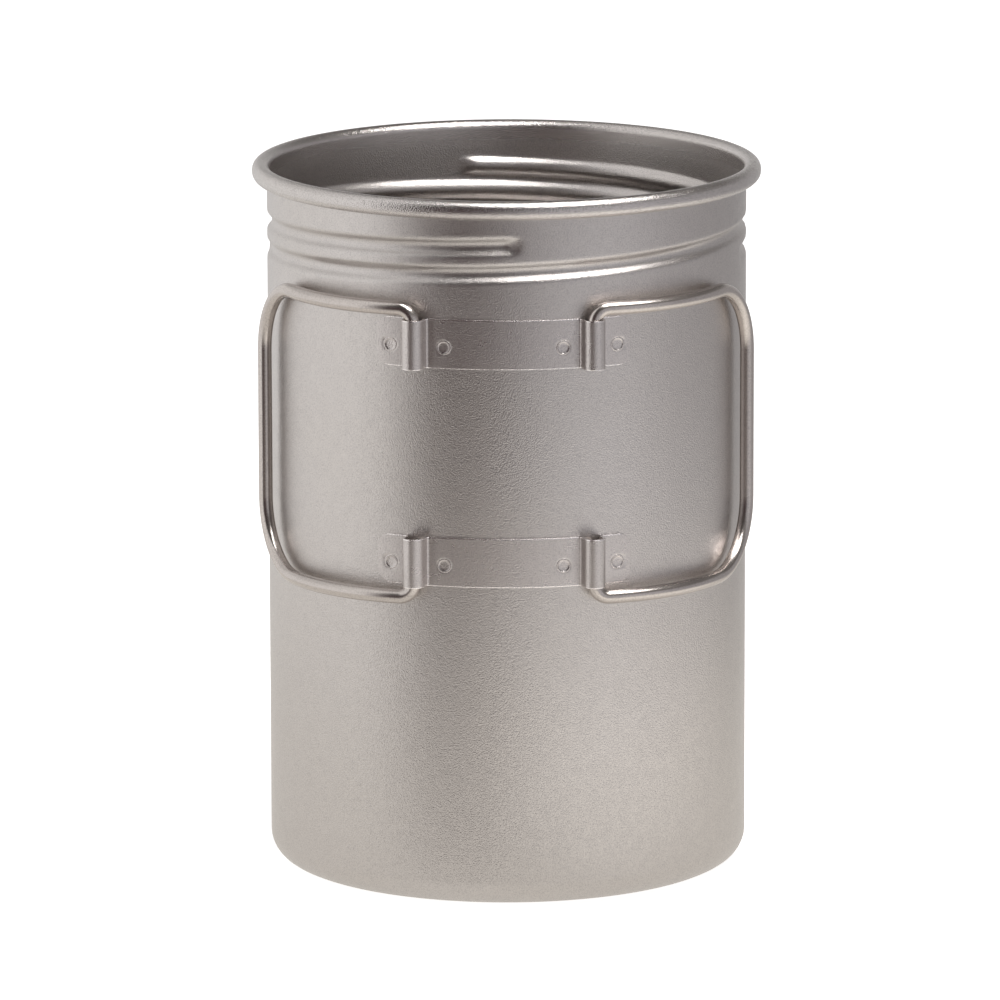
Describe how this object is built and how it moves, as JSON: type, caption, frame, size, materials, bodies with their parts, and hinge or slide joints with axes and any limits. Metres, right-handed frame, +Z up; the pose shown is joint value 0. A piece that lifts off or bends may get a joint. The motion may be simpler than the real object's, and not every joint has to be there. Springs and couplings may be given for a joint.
{
  "type": "camping pot",
  "caption": "Tall cylindrical sheet-metal camping pot with a rolled rim, a screw-lid neck and folding wire handles hinged on welded straps.",
  "frame": {"origin": "centre of the flat base", "axes": "+Z up along the pot's axis, -Y towards the side that carries the hinge straps, +X to the right when facing that side"},
  "size_m": [0.102, 0.102, 0.1423],
  "materials": {
    "pot_sheet": "bead-blasted titanium",
    "strap_sheet": "satin titanium",
    "spot_weld": "satin titanium, slightly dark",
    "handle_wire": "smooth drawn titanium"
  },
  "bodies": {
    "pot": {"pot_body": "pot_sheet", "upper_hinge_strap": "strap_sheet", "upper_strap_welds": "spot_weld", "lower_hinge_strap": "strap_sheet", "lower_strap_welds": "spot_weld"},
    "handle_left": {"left_handle": "handle_wire"},
    "handle_right": {"right_handle": "handle_wire"}
  },
  "joints": [
    {"name": "left_handle_hinge", "type": "hinge", "parent": "pot", "child": "handle_left", "pos_m": [-0.0178, -0.04715, 0.0918], "axis": [0, 0, 1], "range_deg": [-0.5, 155]},
    {"name": "right_handle_hinge", "type": "hinge", "parent": "pot", "child": "handle_right", "pos_m": [0.0178, -0.04715, 0.0918], "axis": [0, 0, -1], "range_deg": [-0.5, 155]}
  ]
}
